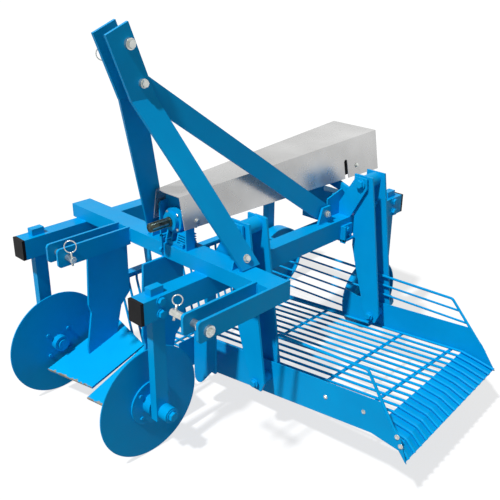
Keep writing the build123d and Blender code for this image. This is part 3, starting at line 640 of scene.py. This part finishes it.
def notch_painted_shade():
    # dark plate behind the notch in the cover: painted shade, a black sheet that keeps the view through the notch
    # dark
    bm = bmesh.new()
    box(bm, -470, -467, 985, 1082, 912, 1010, bevelled=False)
    mesh_object("notch_painted_shade", bm, BLACK, "frame")


# Weld beads
def weld_rows():
    # both ends of a bead, and its radius
    rows = [((NEAR_OUT, CROSS_W, TUBE_TOP), (NEAR_IN, CROSS_W, TUBE_TOP), 3.2),
            ((NEAR_OUT, 0, TUBE_TOP), (NEAR_IN, 0, TUBE_TOP), 3.2),
            ((FAR_IN, 0, TUBE_TOP), (FAR_OUT, 0, TUBE_TOP), 3.2),
            ((FAR_IN, CROSS_W, TUBE_TOP), (FAR_OUT, CROSS_W, TUBE_TOP), 3.2)]
    # the same joint, along the tubes
    for x in (NEAR_OUT, NEAR_IN, FAR_IN):
        rows.append(((x, 2, TUBE_TOP), (x, CROSS_W - 2, TUBE_TOP), 3.2))
    # feet of the mast legs
    for x in (X_HITCH + 265, X_HITCH - 265):
        rows.append(((x, 14, CROSS_TOP), (x, 90, CROSS_TOP), 3.0))
    # lug of the brace
    for x in (LUG_X0, LUG_X1):
        rows.append(((x, 720, TUBE_TOP), (x, 812, TUBE_TOP), 3.0))
    # on the outer side of the near tube, level with the rear cross tube
    rear_y = spans("rear_cross_tube")[1][0]
    rear_low, rear_high = spans("rear_cross_tube")[2]
    rows.append(((NEAR_OUT, rear_y, rear_low + 2), (NEAR_OUT, rear_y, rear_high - 2), 2.6))
    # both sides of three hitch plates; the fourth is beside the end of the cross tube
    for x in (X_LOWER_NEAR - PLATE_MID, X_LOWER_FAR - PLATE_MID, X_LOWER_FAR + PLATE_MID):
        for side in (-6, 6):
            rows.append(((x + side, 0, TUBE_TOP + 2), (x + side, 0, CROSS_TOP - 3), 3.0))
    return rows


def bead(name, start, end, radius, seed):
    # a row of small overlapping ripples, thin at both ends
    a = place(*start)
    b = place(*end)
    length = (b - a).length
    base = frame_at(a, (b - a).normalized())
    steps = max(6, int(length / BEAD_STEP))
    bm = bmesh.new()
    loops = []
    for i in range(steps + 1):
        swell = 1.0 + 0.16 * math.sin(i * 2.1 + seed) + 0.10 * math.sin(i * 0.7 + 2 * seed)
        if i in (0, steps):
            swell = 0.35
        loops.append(loop_at(bm, base, radius / 1000 * swell, length * i / steps, BEAD_SIDES))
    skin(bm, loops)
    mesh_object(name, bm, BLUE, "frame", smooth=True)


def welds():
    for k, (start, end, radius) in enumerate(weld_rows()):
        bead("weld_%02d" % k, start, end, radius, 1.3 * k)


# Floor, light and background
def seen_directly(tree):
    # 1 for rays from the camera and for those that gloss and glass send on
    path = tree.nodes.new("ShaderNodeLightPath")
    last = path.outputs["Is Camera Ray"]
    for kind in ("Is Glossy Ray", "Is Transmission Ray"):
        last = math_node(tree, "MAXIMUM", last, path.outputs[kind])
    return last


def lay_floor():
    bm = bmesh.new()
    bmesh.ops.create_grid(bm, x_segments=1, y_segments=1, size=FLOOR_HALF)
    mesh = bpy.data.meshes.new("floor")
    bm.to_mesh(mesh)
    bm.free()
    floor = bpy.data.objects.new("floor", mesh)
    floor.location = (0, 0, FLOOR_Z)
    bpy.context.scene.collection.objects.link(floor)
    mat, tree, bsdf = new_material("floor")
    tone = ramp(tree, noise(tree, 0.8, detail=2.0), 0.2, 0.8, grey(0.28), grey(0.29))
    tree.links.new(tone, bsdf.inputs["Base Color"])
    bsdf.inputs["Roughness"].default_value = 0.9
    bsdf.inputs["Specular IOR Level"].default_value = 0.0
    bsdf.inputs["Emission Color"].default_value = (*WHITE, 1.0)
    glow = math_node(tree, "MULTIPLY", seen_directly(tree), FLOOR_GLOW)
    tree.links.new(glow, bsdf.inputs["Emission Strength"])
    mesh.materials.append(mat)


def set_sky():
    # dim white as a light, full white where it is seen directly
    world = bpy.data.worlds.new("world")
    bpy.context.scene.world = world
    world.use_nodes = True
    tree = world.node_tree
    dim = tree.nodes["Background"]
    full = tree.nodes.new("ShaderNodeBackground")
    for back, strength in ((dim, SKY_LIGHT), (full, 1.0)):
        back.inputs[0].default_value = (*WHITE, 1.0)
        back.inputs[1].default_value = strength
    both = tree.nodes.new("ShaderNodeMixShader")
    tree.links.new(seen_directly(tree), both.inputs[0])
    tree.links.new(dim.outputs[0], both.inputs[1])
    tree.links.new(full.outputs[0], both.inputs[2])
    tree.links.new(both.outputs[0], tree.nodes["World Output"].inputs[0])


def hang_sun():
    data = bpy.data.lights.new("key", "SUN")
    data.energy = SUN_ENERGY
    data.angle = math.radians(SUN_DEGREES)
    lamp = bpy.data.objects.new("key", data)
    lamp.rotation_euler = (-Vector(SUN_FROM)).to_track_quat("-Z", "Y").to_euler()
    bpy.context.scene.collection.objects.link(lamp)


dress()
bolts()
far_hitch_pin()
guard()
linch_pins()
pin_sleeve()
pin_ends()
tube_clamp()
stub_splines()
clamp_plates()
shaft_hook()
notch_painted_shade()
welds()
place_camera()
lay_floor()
set_sky()
hang_sun()
bpy.context.scene.view_settings.view_transform = "Standard"
